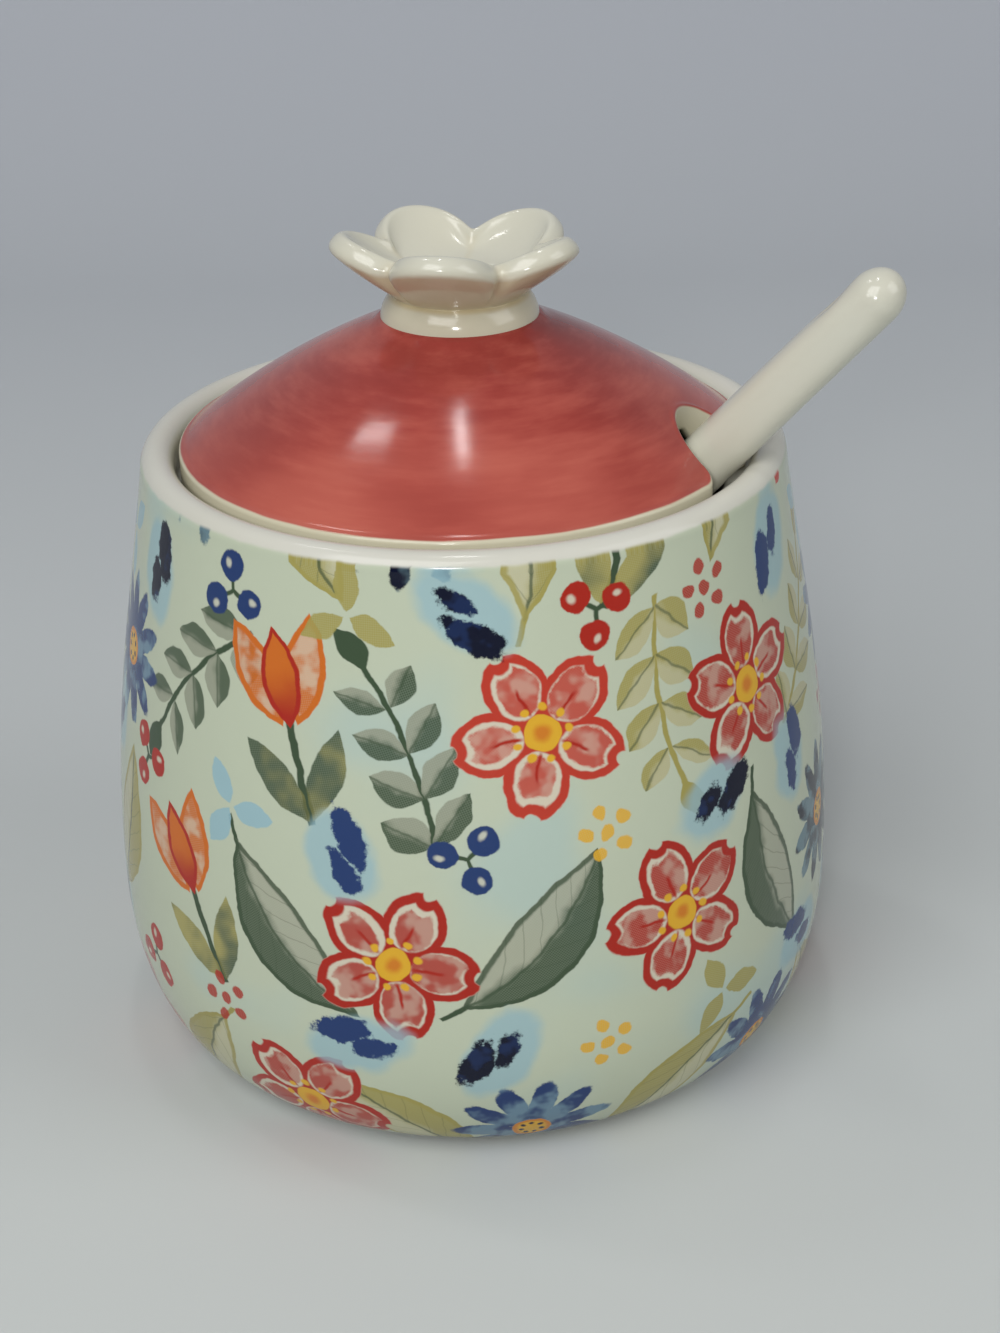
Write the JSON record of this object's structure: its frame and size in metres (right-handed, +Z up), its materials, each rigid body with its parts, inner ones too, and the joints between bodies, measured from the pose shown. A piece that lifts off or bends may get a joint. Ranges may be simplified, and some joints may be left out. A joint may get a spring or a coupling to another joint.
{
  "type": "jam pot",
  "caption": "Round-bellied glazed jam pot with a domed lid let into its rim, a flower-shaped knob, and a spoon that leans out through a notch in the lid; lid and spoon lift out.",
  "frame": {"origin": "centre of the foot ring, on the table", "axes": "+Z up along the pot's axis, -Y towards the front, the spoon's handle leaning out between +X and -Y"},
  "size_m": [0.0988, 0.095, 0.1065],
  "materials": {
    "pot_glaze": "clear glaze over a pale mint ground with a printed flower pattern, bare white rim",
    "lid_glaze": "clear glaze over hand-brushed coral red, bare cream edge",
    "white_glaze": "glossy ivory-white glaze"
  },
  "bodies": {
    "pot": {"pot_body": "pot_glaze"},
    "lid": {"lid": "lid_glaze", "flower_knob": "white_glaze"},
    "spoon": {"spoon": "white_glaze"}
  },
  "joints": [
    {"name": "lid_lift", "type": "slide", "parent": "pot", "child": "lid", "axis": [0, 0, 1], "range_m": [0, 0.06]},
    {"name": "spoon_draw", "type": "slide", "parent": "pot", "child": "spoon", "axis": [0.6243, -0.2272, 0.7474], "range_m": [0, 0.058]}
  ]
}
